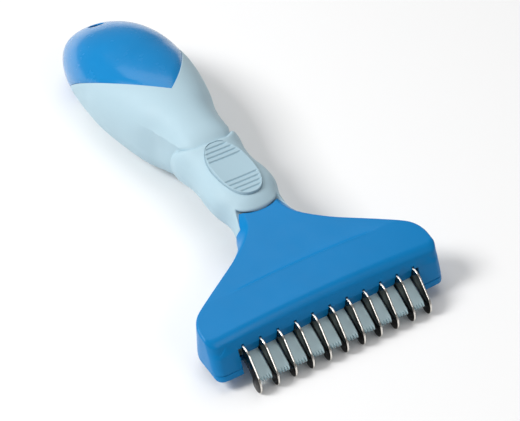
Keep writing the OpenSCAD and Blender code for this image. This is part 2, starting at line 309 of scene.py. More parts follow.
def bump(tree, shader, height, depth):
    """Relief of about depth millimetres."""
    node = tree.nodes.new("ShaderNodeBump")
    node.inputs["Strength"].default_value = 1.0
    node.inputs["Distance"].default_value = depth * MM
    tree.links.new(height, node.inputs["Height"])
    tree.links.new(node.outputs["Normal"], shader.inputs["Normal"])


# Noise sizes are in millimetres
FLOW_SIZE = 18
SMEAR_SIZE = 5
GLOSS_SPREAD = 0.05
COAT_ROUGHNESS = 0.1


def moulded(name, colour, darker, roughness, grain_size, grain_depth, coat=0.0, shine=0.5):
    """Moulded plastic: faint colour flow, uneven gloss and a fine grain."""
    material, tree, shader = principled(name)
    flow = ranged(tree, noise(tree, FLOW_SIZE, 2), 0, 1)
    tree.links.new(blend_colour(tree, flow, darker, colour), shader.inputs["Base Color"])
    smear = noise(tree, SMEAR_SIZE, 4)
    gloss = ranged(tree, smear, roughness - GLOSS_SPREAD, roughness + GLOSS_SPREAD)
    tree.links.new(gloss, shader.inputs["Roughness"])
    bump(tree, shader, noise(tree, grain_size, 3), grain_depth)
    shader.inputs["Specular IOR Level"].default_value = shine
    shader.inputs["Coat Weight"].default_value = coat
    shader.inputs["Coat Roughness"].default_value = COAT_ROUGHNESS
    return material


def shade(colour, k):
    return tuple(c * k for c in colour)


HEAD_COLOUR = (0.001, 0.212, 0.530)
CAP_COLOUR = (0.004, 0.222, 0.540)
GRIP_COLOUR = (0.425, 0.585, 0.665)
# The thumb pad's soft plastic, painted a little darker than the grip as shade
PAD_PAINTED_SHADE_COLOUR = (0.375, 0.530, 0.610)
# Light-blue plastic, made paler than its own colour to paint the front light on the guard fingers and end
# plates
FINGER_PAINTED_LIGHT_COLOUR = (0.660, 0.860, 0.920)
CORE_COLOUR = (0.68, 0.69, 0.69)
CORE_DARKER = (0.63, 0.64, 0.65)
STEEL_COLOUR = (0.86, 0.82, 0.76)
# Painted dark reflection and shade on the blades' flat sides: near black at the tips, olive-grey further back
TIP_PAINTED_REFLECTION = (0.012, 0.011, 0.010)
SIDE_PAINTED_REFLECTION = (0.20, 0.19, 0.165)
# Distances from the blade tips between which the painted dark reflection turns from near black to olive
PAINTED_REFLECTION_FADE = (4.6, 9.5)

head_blue = moulded("head_blue", HEAD_COLOUR, shade(HEAD_COLOUR, 0.95), 0.34, 0.35, 0.006, shine=0.22)
cap_blue = moulded("cap_blue", CAP_COLOUR, shade(CAP_COLOUR, 0.95), 0.24, 1.2, 0.004, coat=0.25, shine=0.3)
grip_soft = moulded("grip_soft", GRIP_COLOUR, shade(GRIP_COLOUR, 0.97), 0.56, 0.25, 0.012, shine=0.4)
pad_soft = moulded("pad_soft", PAD_PAINTED_SHADE_COLOUR, shade(PAD_PAINTED_SHADE_COLOUR, 0.96), 0.62, 0.25, 0.015)
finger_plastic = moulded("finger_plastic", FINGER_PAINTED_LIGHT_COLOUR, shade(FINGER_PAINTED_LIGHT_COLOUR, 0.88), 0.42, 0.3, 0.01)
core_plastic = moulded("core_plastic", CORE_COLOUR, CORE_DARKER, 0.5, 0.4, 0.01)


def steel(name, colour, roughness, grain, stretch):
    """Ground steel: stretched scratches and uneven polish."""
    material, tree, shader = principled(name)
    shader.inputs["Metallic"].default_value = 1.0
    lines = noise(tree, grain, 4, stretch)
    tone = ranged(tree, lines, 0, 1)
    tree.links.new(blend_colour(tree, tone, shade(colour, 0.75), colour), shader.inputs["Base Color"])
    tree.links.new(ranged(tree, lines, roughness - 0.08, roughness + 0.1), shader.inputs["Roughness"])
    bump(tree, shader, lines, 0.004)
    return material


def blade_steel_painted_reflection():
    """Ground steel whose flat sides carry a painted dark reflection of the shaded table, darkest at the tips,
    and the plain bright steel on the edges all round.
    """
    material = steel("blade_steel", STEEL_COLOUR, 0.22, 0.12, (1, 0.12, 0.5))
    tree = material.node_tree
    shader = tree.nodes["Principled BSDF"]
    ground = shader.inputs["Base Color"].links[0].from_socket
    where = tree.nodes.new("ShaderNodeTexCoord")
    position = tree.nodes.new("ShaderNodeSeparateXYZ")
    tree.links.new(where.outputs["Object"], position.inputs["Vector"])
    facing = tree.nodes.new("ShaderNodeSeparateXYZ")
    tree.links.new(where.outputs["Normal"], facing.inputs["Vector"])
    side = tree.nodes.new("ShaderNodeMath")
    side.operation = "ABSOLUTE"
    tree.links.new(facing.outputs["X"], side.inputs[0])
    # Sides that face across take the painted dark reflection in place of the plain steel colour
    painted_side_mask = ranged(tree, side.outputs["Value"], 0, 1, 0.75, 0.97)
    tip, root = (TIPS_Y + y * MM for y in PAINTED_REFLECTION_FADE)
    reflection_fade = ranged(tree, position.outputs["Y"], 0, 1, tip, root)
    painted_reflection = blend_colour(tree, reflection_fade, TIP_PAINTED_REFLECTION, SIDE_PAINTED_REFLECTION)
    mix = tree.nodes.new("ShaderNodeMix")
    mix.data_type = "RGBA"
    tree.links.new(painted_side_mask, mix.inputs["Factor"])
    tree.links.new(ground, mix.inputs["A"])
    tree.links.new(painted_reflection, mix.inputs["B"])
    tree.links.new(mix.outputs["Result"], shader.inputs["Base Color"])
    return material


blade_steel = blade_steel_painted_reflection()
rod_steel = steel("rod_steel", (0.6, 0.6, 0.6), 0.3, 0.2, (0.1, 1, 1))
screw_steel = steel("screw_steel", (0.55, 0.55, 0.56), 0.34, 0.3, (1, 1, 1))

# ---- Handle skin ----

COLUMNS = 192
# Angles from the top, in degrees, of the cusps and of the skirts' corners
EDGE_CORNERS = (48.0, 58.6)
SKIRT_SLOPE = 0.1


def head_angles():
    """Angles round the handle from its top, with columns at the corners of the grip's front edge."""
    angles = [360 * k / COLUMNS for k in range(COLUMNS)]
    for corner in EDGE_CORNERS:
        for a in (corner, 180 - corner, 180 + corner, 360 - corner):
            nearest = min(range(COLUMNS), key=lambda k: abs(angles[k] - a))
            angles[nearest] = a
    return [math.radians(a) for a in angles]


ANGLES = head_angles()


def section(y):
    """Half width, top and bottom of the handle at y."""
    if y <= TAIL_Y0:
        return through(SKIN, y)
    s = min(1.0, (y - TAIL_Y0) / (TAIL_END - TAIL_Y0))
    h = TAIL_H * max(0.0, 1 - s * s) ** TAIL_ROUND
    z = TAIL_Z - TAIL_DROOP * s**TAIL_DROOP_POWER
    return SWELL_HW * math.sqrt(max(0.0, 1 - s * s)), z + h, z - h


def on_skin(a, y, inset=0.0):
    """Point of the handle's skin at angle a from the top, moved inwards by inset."""
    w, t, b = section(y)
    h = (t - b) / 2
    c = signed_power(math.sin(a), 2 / SKIN_POWER)
    s = signed_power(math.cos(a), 2 / SKIN_POWER)
    x, z = w * c, h * s
    if inset:
        nx = signed_power(c, SKIN_POWER - 1) / max(w, 0.1)
        nz = signed_power(s, SKIN_POWER - 1) / max(h, 0.1)
        n = math.hypot(nx, nz)
        x -= inset * nx / n
        z -= inset * nz / n
    return x, y, (t + b) / 2 + z


def skin_z(x, y, side=1):
    """Height of the skin above (+1) or below (-1) the point x, y."""
    w, t, b = section(y)
    h = (t - b) / 2
    k = min(1.0, abs(x) / w)
    return (t + b) / 2 + side * h * (1 - k**SKIN_POWER) ** (1 / SKIN_POWER)


def lobe_y(x):
    """Front edge of the grip, in plan: a lobe on the top, a cusp, and a skirt down each side."""
    x = abs(x)
    if x < CUSP[0]:
        return CUSP[1] - (CUSP[1] - LOBE_TIP_Y) * math.sqrt(1 - (x / CUSP[0]) ** 2)
    if x < SKIRT[0]:
        return lerp(CUSP[1], SKIRT[1], (x - CUSP[0]) / (SKIRT[0] - CUSP[0]))
    return SKIRT[1] - (x - SKIRT[0]) * SKIRT_SLOPE


def chevron_y(x, z):
    return CHEVRON_Y + CHEVRON_LEAN * (CHEVRON_Z - z) + CHEVRON_SLOPE * abs(x)


def meet(a, start, edge):
    """Distance along the skin's line at angle a at which it meets an edge given by edge(x, z)."""
    lo, hi = start
    for _ in range(30):
        mid = (lo + hi) / 2
        x, _y, z = on_skin(a, mid)
        if mid < edge(x, z):
            lo = mid
        else:
            hi = mid
    return (lo + hi) / 2


FRONT_Y = [meet(a, (48, 62), lambda x, z: lobe_y(x)) for a in ANGLES]
REAR_Y = [meet(a, (112, 175), chevron_y) for a in ANGLES]

# The crease where the palm swell dips in behind the thumb rest: angle from the top, y
CREASE = [
    (0, 87.3), (28, 88.2), (42, 90.0), (52, 91.8), (64, 93.8),
    (82, 96.3), (100, 97.7), (116, 98), (180, 98),
]
CREASE_DEPTH = [(0, 1.3), (40, 1.2), (55, 1.35), (90, 1.5), (120, 1.1), (150, 0.4), (180, 0.2)]
RIDGE = [(91, 50), (98, 60), (104, 64), (118, 66)]


FRONT_ROLL = 0.6
# The lobe's slope down to its edge: length, depth, and its angle to each side of the top
LOBE_SLOPE_L = 5
LOBE_SLOPE_D = 0.9
LOBE_ANGLE = 60


def from_top(a):
    """Angle from the top, in degrees, from 0 to 180."""
    d = math.degrees(a) % 360
    return min(d, 360 - d)


def grip_inset(a, y, front, crease):
    """Sculpting of the grip: rolled front edge, crease and ridge."""
    up = from_top(a)
    inset = 0.0
    s = y - front
    inset += rolled(s, FRONT_ROLL)
    if s < LOBE_SLOPE_L and up < LOBE_ANGLE:
        around = math.cos(math.radians(up * 90 / LOBE_ANGLE)) ** 2
        inset += LOBE_SLOPE_D * (1 - s / LOBE_SLOPE_L) ** 2 * around
    depth = along(CREASE_DEPTH, up)
    d = y - crease
    if d < 0:
        inset += depth * math.exp(d / 0.5)
    else:
        inset += depth * math.exp(-((d / lerp(4.0, 2.4, smooth(up / 90))) ** 1.15))
    if d > 0 and y < 120:
        edge = along(RIDGE, y)
        reflection_fade = smooth((119 - y) / 14) * smooth(d / 1.5)
        inset -= 0.5 * reflection_fade * math.exp(-abs(up - edge) / 4)
        if up > edge:
            inset += 0.9 * reflection_fade * math.exp(-(((up - edge - 20) / 18) ** 2))
    return inset


def core_radius(y):
    return along(CORE, y)


def core_ring(y, radius):
    """Circle about the core's line."""
    return [(radius * math.sin(a), y, CORE_Z + radius * math.cos(a)) for a in ANGLES]


def chevron_ring(shift):
    """Where the seam's leaning face meets the core's pocket, moved back by shift."""
    return [(x, chevron_y(x, z) + shift, z) for x, _y, z in core_ring(0, core_radius(CORE_WIDEST_Y))]


def spread(n, power_lo=1.0, power_hi=1.0):
    """n steps from 0 to 1, closer together towards the ends with a power over 1."""
    steps = []
    for k in range(1, n + 1):
        t = k / n
        if t < 0.5:
            steps.append(0.5 * (2 * t) ** power_lo)
        else:
            steps.append(1 - 0.5 * (2 - 2 * t) ** power_hi)
    return steps


GRIP_SEAM_ROLL = 0.3


def build_grip():
    """The soft grip, in rings from its front edge back to the chevron, then forward through its hollow."""
    creases = [along(CREASE, from_top(a)) for a in ANGLES]
    count = len(ANGLES)
    lines = [
        (FRONT_Y, []),
        ([62.0] * count, spread(18, 2.0, 1)),
        ([84.0] * count, spread(34)),
        (creases, spread(22, 1, 2.2)),
        ([112.0] * count, spread(34, 2.2, 1)),
        (REAR_Y, spread(44, 1, 1.8)),
    ]
    rows = [list(FRONT_Y)]
    for (start, _), (end, steps) in zip(lines, lines[1:]):
        rows += [[lerp(a, b, t) for a, b in zip(start, end)] for t in steps]
    rings = []
    for row in rows:
        ring = []
        for a, y, front, crease, rear in zip(ANGLES, row, FRONT_Y, creases, REAR_Y):
            inset = grip_inset(a, y, front, crease) + rolled(rear - y, GRIP_SEAM_ROLL)
            ring.append(on_skin(a, y, inset))
        rings.append(ring)
    # Inside: down the wall at the chevron, along the core, and out at the front edge
    rings.append(chevron_ring(0))
    for y in (113.5, 104, 92, 80, 61.2):
        rings.append(core_ring(y, min(core_radius(y), 12.4)))
    rings.append(core_ring(61, TONGUE_HOLE_R))
    rings.append([(x, front, z) for (x, _y, z), front in zip(core_ring(0, TONGUE_HOLE_R), FRONT_Y)])
    points, faces = loft(rings, looped=True)
    grip = make("grip_skin", points, faces, material=grip_soft)
    cut(grip, pad_pocket())
    settle(grip, "grip", 50)
    return grip


# ---- Thumb pad ----

PAD_Y = (PAD_LO.y + PAD_HI.y) / 2
PAD_L = PAD_HI.y - PAD_LO.y
PAD_W = PAD_HI.x - PAD_LO.x
PAD_FLOOR = PAD_LO.z
PAD_ROUND = 0.85
PAD_TOP = 29
PAD_SLOPE = math.tan(math.radians(3))
GROOVE_PITCH = 2.1
GROOVE_W = 0.9
GROOVE_D = 0.5
GROOVES = 4
PAD_COLUMNS = 96
PAD_GAP = 0.05
PAD_LIP = 0.2
PAD_EDGE_R = 0.25


def pad_outline(grow):
    points = []
    for k in range(PAD_COLUMNS):
        a = 2 * math.pi * k / PAD_COLUMNS
        x = (PAD_W / 2 + grow) * signed_power(math.cos(a), PAD_ROUND)
        y = (PAD_L / 2 + grow) * signed_power(math.sin(a), PAD_ROUND)
        points.append((x, PAD_Y + y))
    return points


def pocket(outline, floor, lip, roof=45, side=1):
    """Cutting tool for a pocket whose mouth is rounded by lip millimetres where it meets the skin."""
    steps = 5
    rings = [[(x, y, floor) for x, y in outline(0)]]
    for k in range(steps + 1):
        a = math.pi / 2 * k / steps
        grow = lip * (1 - math.cos(a))
        drop = lip * (1 - math.sin(a)) - 0.02
        rings.append([(x, y, skin_z(x, y, side) - side * drop) for x, y in outline(grow)])
    rings.append([(x, y, roof) for x, y in outline(lip)])
    return rings


def pad_pocket():
    points, faces = loft(pocket(lambda g: pad_outline(g + PAD_GAP), PAD_FLOOR, PAD_LIP))
    return make("pad_pocket", points, faces)


def pad_rows():
    """Distances along the pad with rows at the edges of every groove."""
    half = PAD_L / 2
    rows = {0.0, half}
    for k in range(1, GROOVES + 1):
        middle = half - k * GROOVE_PITCH
        for d in (-0.75, -0.5, -0.4, -0.25, -0.1, 0.1, 0.25, 0.4, 0.5, 0.75):
            rows.add(middle + d * GROOVE_W)
    for k in range(1, 12):
        rows.add(half * (1 - (k / 12) ** 3 * 0.1))
    for k in range(1, 4):
        rows.add(k * 0.7)
    rows = sorted(r for r in rows if 0 <= r <= half)
    return [-r for r in reversed(rows[1:])] + rows


def pad_height(x, v, half_w):
    """Height of the pad's top, v along it from its middle."""
    z = PAD_TOP + PAD_SLOPE * v
    for k in range(1, GROOVES + 1):
        d = abs(abs(v) - (PAD_L / 2 - k * GROOVE_PITCH)) / (GROOVE_W / 2)
        if d < 1:
            end = smooth((half_w - abs(x)) / 1.2)
            z -= GROOVE_D * end * (0.5 + 0.5 * math.cos(math.pi * max(0.0, (d - 0.25) / 0.75)))
    dish = 0.25 * (1 - (x / (PAD_W / 2)) ** 2) * (1 - (v / (PAD_L / 2)) ** 2)
    edge = min(half_w - abs(x), PAD_L / 2 - abs(v))
    return z - rolled(max(edge, 0), PAD_EDGE_R) - dish


def build_pad():
    across = 28
    shrink = 0.02
    points, faces = [], []
    rows = pad_rows()
    for v in rows:
        s = min(1.0, abs(v) / (PAD_L / 2))
        a = s ** (1 / PAD_ROUND)
        half_w = max(0.3, (PAD_W / 2 - shrink) * math.sqrt(max(0.0, 1 - a * a)) ** PAD_ROUND)
        for k in range(across + 1):
            x = half_w * math.sin(math.pi / 2 * (2 * k / across - 1))
            points.append((x, PAD_Y + v, pad_height(x, v, half_w)))
    wide = across + 1
    for i in range(len(rows) - 1):
        for k in range(across):
            p = i * wide + k
            faces.append((p, p + 1, p + wide + 1, p + wide))
    top_count = len(points)
    rim = list(range(wide)) + [i * wide + across for i in range(1, len(rows))]
    rim += [(len(rows) - 1) * wide + k for k in range(across - 1, -1, -1)]
    rim += [i * wide for i in range(len(rows) - 2, 0, -1)]
    for p in rim:
        x, y, _z = points[p]
        points.append((x, y, PAD_FLOOR + 0.1))
    n = len(rim)
    for k in range(n):
        m = (k + 1) % n
        faces.append((rim[k], rim[m], top_count + m, top_count + k))
    faces.append(tuple(top_count + k for k in range(n)))
    return make("thumb_pad_top", points, faces, "thumb_pad", pad_soft, 50)


# ---- Tail cap ----


CAP_SEAT_Z = 4
HANG_COLUMNS = 64
HANG_LIP = 0.6
CAP_SEAM_ROLL = 0.35


def circle(x, y, radius, columns):
    turns = [2 * math.pi * k / columns for k in range(columns)]
    return [(x + radius * math.cos(a), y + radius * math.sin(a)) for a in turns]


def hang_outline(grow):
    return circle(0, HANG_Y, HANG_R + grow, HANG_COLUMNS)


def hang_tool():
    upper = pocket(hang_outline, 10, HANG_LIP)
    lower = pocket(hang_outline, 10, HANG_LIP, roof=-10, side=-1)
    points, faces = loft(lower[:0:-1] + upper[1:])
    return make("hang_tool", points, faces)


def screw_tool(x, y, seat):
    """Cutting tool for a screw's seat, at height seat, and the clearance hole above it."""
    profile = [(-5, SCREW_SEAT_R), (seat, SCREW_SEAT_R), (seat, SCREW_HOLE_R), (SCREW_HOLE_TOP, SCREW_HOLE_R)]
    points, faces = loft([[(u, v, z) for u, v in circle(x, y, radius, 40)] for z, radius in profile])
    return make("screw_tool", points, faces)


def build_cap():
    """The tail cap, in rings from the tail end forward to the chevron, then back down the core's pocket."""
    starts = [y + SEAM_GAP for y in REAR_Y]
    rings = []
    tail = TAIL_END - 0.002
    steps = spread(56, 1.0, 2.6)
    for t in [0.0] + steps:
        ring = []
        for a, start in zip(ANGLES, starts):
            u = t * math.pi / 2
            y = start + (tail - start) * math.sin(u) ** 0.9 if t else start
            ring.append(on_skin(a, y, rolled(y - start, CAP_SEAM_ROLL)))
        rings.append(ring)
    rings.reverse()
    rings.append(chevron_ring(SEAM_GAP))
    for y in (156, 170.2):
        rings.append(core_ring(y, core_radius(y)))
    points, faces = loft(rings)
    cap = make("tail_cap_skin", points, faces, material=cap_blue)
    lo, hi = node_box("cap_screw")
    middle = (lo + hi) / 2
    cut(cap, hang_tool(), screw_tool(middle.x, middle.y, CAP_SEAT_Z))
    settle(cap, "tail_cap", 50)
    return cap


# ---- Head ----

HEAD_W = HEAD_HI.x
FACE_BOTTOM = (7.4, 4.2)
FACE_TOP = (13.7, 18.4)
FACE_SLOPE = (FACE_TOP[0] - FACE_BOTTOM[0]) / (FACE_TOP[1] - FACE_BOTTOM[1])
CREASE_AT = (27.8, 21.3)
NECK_TOP = (56, 23.7)
NECK_BOTTOM_Z = 9.6
NECK_Y = 50
NECK_HW = 10.5
FLARE = math.tan(math.radians(31.8))
FLARE_Y0 = 51.9
SHOULDER_R = 9
NECK_R = 26
PARTING_Z = 6.4
PARTING_GAP = 0.06
CROWN = 1.4
# Fold line across the top: bead height, front width, rear width, dish depth, its start and its recovery
BEAD_H, BEAD_FRONT, BEAD_REAR = 0.06, 0.4, 0.5
DISH_D, DISH_START, DISH_END = 0.5, 0.8, 9
FOLD_CURVE = 1.2
FOLD_HW, FOLD_FADE = 33, 14
END_PLATE_T = 2
BAY_HW = END_PLATE_T + 0.35 - STACK_LO.x
BAY_Y1 = 24
BAY_TOP = 15.4


def head_half_width(y):
    secant = math.sqrt(1 + FLARE**2)
    shoulder_x = HEAD_W - SHOULDER_R
    shoulder_y = FLARE_Y0 - shoulder_x * FLARE - SHOULDER_R * secant
    neck_x = NECK_HW + NECK_R
    neck_y = FLARE_Y0 - neck_x * FLARE + NECK_R * secant
    if y < shoulder_y:
        return HEAD_W
    if y < shoulder_y + SHOULDER_R / secant:
        return shoulder_x + math.sqrt(SHOULDER_R**2 - (y - shoulder_y) ** 2)
    if y < neck_y - NECK_R / secant:
        return (FLARE_Y0 - y) / FLARE
    if y < neck_y:
        return neck_x - math.sqrt(NECK_R**2 - (neck_y - y) ** 2)
    return NECK_HW


def head_top_z(x, y):
    """Crowned top plate, with a fine bead along its fold and a shallow dish behind it."""
    if y < CREASE_AT[0]:
        z = lerp(FACE_TOP[1], CREASE_AT[1], (y - FACE_TOP[0]) / (CREASE_AT[0] - FACE_TOP[0]))
    else:
        z = lerp(CREASE_AT[1], NECK_TOP[1], (y - CREASE_AT[0]) / (NECK_TOP[0] - CREASE_AT[0]))
    z -= CROWN * (x / HEAD_W) ** 2
    d = y - CREASE_AT[0] + FOLD_CURVE * (x / HEAD_W) ** 2
    reflection_fade = smooth((FOLD_HW - abs(x)) / FOLD_FADE)
    if d < 0:
        return z + BEAD_H * reflection_fade * math.exp(-((d / BEAD_FRONT) ** 2))
    dish = DISH_D * (1 - math.exp(-d / DISH_START)) * math.exp(-d / DISH_END)
    return z + reflection_fade * (BEAD_H * math.exp(-d / BEAD_REAR) - dish)


def neck_rise(y):
    """0 on the bar, growing to 1 at the neck."""
    return clamp((y - CREASE_AT[0]) / (NECK_Y - CREASE_AT[0])) ** 2


def head_bottom_z(y):
    return lerp(FACE_BOTTOM[1], NECK_BOTTOM_Z, neck_rise(y))


def face_y(z):
    return FACE_BOTTOM[0] + (z - FACE_BOTTOM[1]) * FACE_SLOPE


TOP_STEPS, CORNER_STEPS, SIDE_STEPS, BOTTOM_STEPS = 44, 10, 10, 18
ROLL_STEPS = 9
# Height limit of a piece that has the head's own top
NO_ROOF = 99
# Edge radii. Pairs are for the bar and the neck. A power above 1 flattens the round towards a chamfer.
PARTING_R = 0.25
TOP_EDGE_R = (1.0, 4.6)
TOP_EDGE_POWER = (1.0, 1.55)
COVER_EDGE_R = 1.9
NECK_EDGE_R = 6.2
FACE_SIDE_R = 3.4
FACE_TOP_R = 2.4
COVER_FACE_R = 0.8
COVER_INSET = 0.12
# Where the two mouldings end, from the blade tips
COVER_END = 41
SHELL_END = 62


def head_section(y, floor, roof, inset):
    """Half outline of the head at y, as x and z, from the middle of its top to the middle of its bottom."""
    w = head_half_width(y) - inset
    neck = smooth((y - 37) / 14)
    bottom = max(head_bottom_z(y), floor)
    top_r, top_power = lerp(*TOP_EDGE_R, neck), lerp(*TOP_EDGE_POWER, neck)
    bottom_r = lerp(PARTING_R, NECK_EDGE_R, smooth((y - 40) / 10))
    if roof < NO_ROOF:
        height = roof - bottom
        top_r, top_power = min(PARTING_R, 0.35 * height), 1.0
        bottom_r = min(lerp(COVER_EDGE_R, NECK_EDGE_R, neck_rise(y)), 0.6 * height)

    def top_z(x):
        return min(head_top_z(x, y), roof)

    points = []
    for k in range(TOP_STEPS):
        x = (w - top_r) * k / TOP_STEPS
        points.append((x, top_z(x)))
    edge_z = top_z(w - top_r) - top_r
    for k in range(CORNER_STEPS + 1):
        a = math.pi / 2 * k / CORNER_STEPS
        x = w - top_r + top_r * math.sin(a) ** top_power
        points.append((x, edge_z + top_r * math.cos(a) ** top_power))
    low_z = bottom + bottom_r
    for k in range(1, SIDE_STEPS):
        points.append((w, lerp(edge_z, low_z, k / SIDE_STEPS)))
    for k in range(CORNER_STEPS + 1):
        a = math.pi / 2 * k / CORNER_STEPS
        points.append((w - bottom_r + bottom_r * math.cos(a), low_z - bottom_r * math.sin(a)))
    for k in range(1, BOTTOM_STEPS + 1):
        points.append(((w - bottom_r) * (1 - k / BOTTOM_STEPS), bottom))
    return points


def head_planes(end_y):
    """Sections behind the front face, closer together at the shoulder and at the fold."""
    planes = [19 + 0.55 * k for k in range(15)] + [27.2 + 0.1 * k for k in range(15)] + [30, 32, 34, 36, 38]
    planes += [39.2 + 1.2 * k for k in range(18)]
    return [y for y in planes if y < end_y - 0.2] + [end_y]


def head_loft(name, floor, roof, end_y, bottom_roll, inset):
    """Closed skin of the head between two heights, with a rolled front edge."""
    top_roll = PARTING_R if roof < NO_ROOF else FACE_TOP_R
    samples = head_section(17, floor, roof, inset)
    count = len(samples)
    middle = (samples[0][1] + samples[-1][1]) / 2
    half_h = (samples[0][1] - samples[-1][1]) / 2
    half_w = max(x for x, _z in samples)
    # 1 where the outline faces sideways, 0 where it faces up or down
    sideways = []
    for k in range(count):
        before, after = samples[max(k - 1, 0)], samples[min(k + 1, count - 1)]
        dx, dz = after[0] - before[0], after[1] - before[1]
        sideways.append(dz * dz / max(dx * dx + dz * dz, 1e-9))
    rings = []
    for i in range(ROLL_STEPS + 1):
        turn = math.pi / 2 * i / ROLL_STEPS
        ring = []
        for k in range(count):
            x, z = samples[k]
            roll = top_roll if z > middle else bottom_roll
            x0 = x * (1 - FACE_SIDE_R * (1 - math.sin(turn)) / HEAD_W)
            z0 = middle + (z - middle) * (1 - roll * (1 - math.sin(turn)) / half_h)
            past = clamp((abs(x0) - half_w + FACE_SIDE_R) / FACE_SIDE_R)
            corner = FACE_SIDE_R * (1 - math.sqrt(1 - past * past))
            y = face_y(z0) + corner + roll * (1 - math.cos(turn)) * (1 - sideways[k])
            if i == ROLL_STEPS:
                x0, z0 = head_section(y, floor, roof, inset)[k]
                y = face_y(z0) + corner + roll * (1 - sideways[k])
            elif z > middle and roof >= NO_ROOF:
                here = head_section(max(y, FACE_TOP[0]), floor, roof, inset)[k]
                z0 = min(z0, z0 - z + here[1])
            ring.append((x0, y, z0))
        rings.append(ring)
    planes = head_planes(end_y)
    start = [p[1] for p in rings[-1]]
    for t in (0.25, 0.5, 0.75):
        ring = []
        for k in range(count):
            y = lerp(start[k], planes[0], t)
            x, z = head_section(y, floor, roof, inset)[k]
            ring.append((x, y, z))
        rings.append(ring)
    for y in planes:
        rings.append([(x, y, z) for x, z in head_section(y, floor, roof, inset)])
    closed = [ring + [(-x, y, z) for x, y, z in reversed(ring[1:-1])] for ring in rings]
    points, faces = loft(closed)
    return make(name, points, faces, material=head_blue)


BLADE_X = [(node_box(n)[0].x + node_box(n)[1].x) / 2 for n in BLADES]
SLOT_W = 1.0
SLOT_RISE = 1.0
LIP_Z = 12.5
LIP_R = 0.4
TAB_BOTTOM = 9.2
TAB_FRONT = 11.45
TAB_T = 1.4
TAB_CORNER_R = 1.3
TAB_EDGE_R = 0.25
MOUTH_BACK_Y = 13.4
# Cover screws: distance to each side, distance from the blade tips, height of the seat
COVER_SCREWS = ((40, 17, 5.4), (14, 33, 5.69))


def mouth_profile(rise):
    """Outline in y, z of the mouth and the bay behind it, with a rounded lip."""
    half_angle = math.atan2(1, FACE_SLOPE) / 2
    reach = LIP_R / math.sin(half_angle)
    z0 = LIP_Z + rise
    cy, cz = face_y(z0) + reach * math.cos(half_angle), z0 + reach * math.sin(half_angle)
    outline = [(-2, -5), (-2, cz + 0.2)]
    for k in range(7):
        a = lerp(math.pi / 2 + 2 * half_angle, math.pi * 1.5, k / 6)
        outline.append((cy + LIP_R * math.cos(a), cz + LIP_R * math.sin(a)))
    back = TAB_FRONT + TAB_T
    return outline + [(back, z0), (back, BAY_TOP), (BAY_Y1, BAY_TOP), (BAY_Y1, -5)]


def mouth_tool():
    """The mouth and the bay, with a taller stretch for the slot over each blade."""
    stops = [(-BAY_HW, 0)]
    for x in BLADE_X:
        left, right = x - SLOT_W / 2, x + SLOT_W / 2
        stops += [(left, 0), (left, SLOT_RISE), (right, SLOT_RISE), (right, 0)]
    stops.append((BAY_HW, 0))
    rings = [[(x, y, z) for y, z in mouth_profile(rise)] for x, rise in stops]
    points, faces = loft(rings)
    return make("mouth_tool", points, faces)


def neck_tool():
    """Everything behind the grip's front edge."""
    side = [CUSP[0] * math.sin(math.pi / 2 * k / 24) for k in range(25)]
    half = [(x, lobe_y(x) - SEAM_GAP) for x in side]
    half += [(SKIRT[0], SKIRT[1] - SEAM_GAP), (30, SKIRT[1] - 2)]
    outline = [(30, 90)] + half[::-1] + [(-x, y) for x, y in half[1:]] + [(-30, 90)]
    points, faces = loft([[(x, y, z) for x, y in outline] for z in (-20, 60)])
    return make("neck_tool", points, faces)


def plate(outline, levels, axis):
    """Closed plate from a flat outline, across x or y. A level is a distance along the axis and an inset."""
    count = len(outline)
    area = sum(x0 * y1 - x1 * y0 for (x0, y0), (x1, y1) in zip(outline, outline[1:] + outline[:1]))
    turn = 1 if area > 0 else -1
    rings = []
    for level, inset in levels:
        ring = []
        for k in range(count):
            (x0, y0), (x1, y1), (x2, y2) = outline[k - 1], outline[k], outline[(k + 1) % count]
            ax, ay, bx, by = x1 - x0, y1 - y0, x2 - x1, y2 - y1
            la, lb = math.hypot(ax, ay) or 1, math.hypot(bx, by) or 1
            nx, ny = -(ay / la + by / lb) * turn, (ax / la + bx / lb) * turn
            n = math.hypot(nx, ny) or 1
            stretch = min(1.6, 2 / n)
            u, v = x1 + inset * stretch * nx / n, y1 + inset * stretch * ny / n
            ring.append((level, u, v) if axis == "x" else (u, level, v))
        rings.append(ring)
    return loft(rings)


EDGE_STEPS = 3


def rounded_levels(lo, hi, r):
    """Levels for plate() whose two faces have edges rounded by r."""
    levels = []
    for k in range(EDGE_STEPS + 1):
        a = math.pi / 2 * k / EDGE_STEPS
        levels.append((lo + r * (1 - math.sin(a)), r * (1 - math.cos(a))))
    levels.reverse()
    return levels + [(lo + hi - level, inset) for level, inset in reversed(levels)]


def add(points, faces, more, more_faces):
    """Adds a second closed mesh to the points and faces of a first."""
    faces += [tuple(i + len(points) for i in f) for f in more_faces]
    points += more


def build_tabs():
    """The head's tabs in front of the blades, one in each gap."""
    points, faces = [], []
    r = TAB_CORNER_R
    for left, right in zip(BLADE_X, BLADE_X[1:]):
        x0, x1 = left + SLOT_W / 2, right - SLOT_W / 2
        outline = [(x1, LIP_Z + 0.25), (x0, LIP_Z + 0.25)]
        for cx, a0 in ((x0 + r, math.pi), (x1 - r, 1.5 * math.pi)):
            for k in range(7):
                a = a0 + math.pi / 2 * k / 6
                outline.append((cx + r * math.cos(a), TAB_BOTTOM + r + r * math.sin(a)))
        levels = rounded_levels(TAB_FRONT, TAB_FRONT + TAB_T, TAB_EDGE_R)
        add(points, faces, *plate(outline, levels, "y"))
    return make("head_tabs", points, faces, "head_shell", head_blue, 50)


def mouth_floor_tool():
    """The mouth's opening through the bottom cover."""
    outline = [(BAY_HW, -5), (BAY_HW, MOUTH_BACK_Y), (-BAY_HW, MOUTH_BACK_Y), (-BAY_HW, -5)]
    points, faces = loft([[(x, y, z) for x, y in outline] for z in (-5, 12)])
    return make("mouth_floor_tool", points, faces)


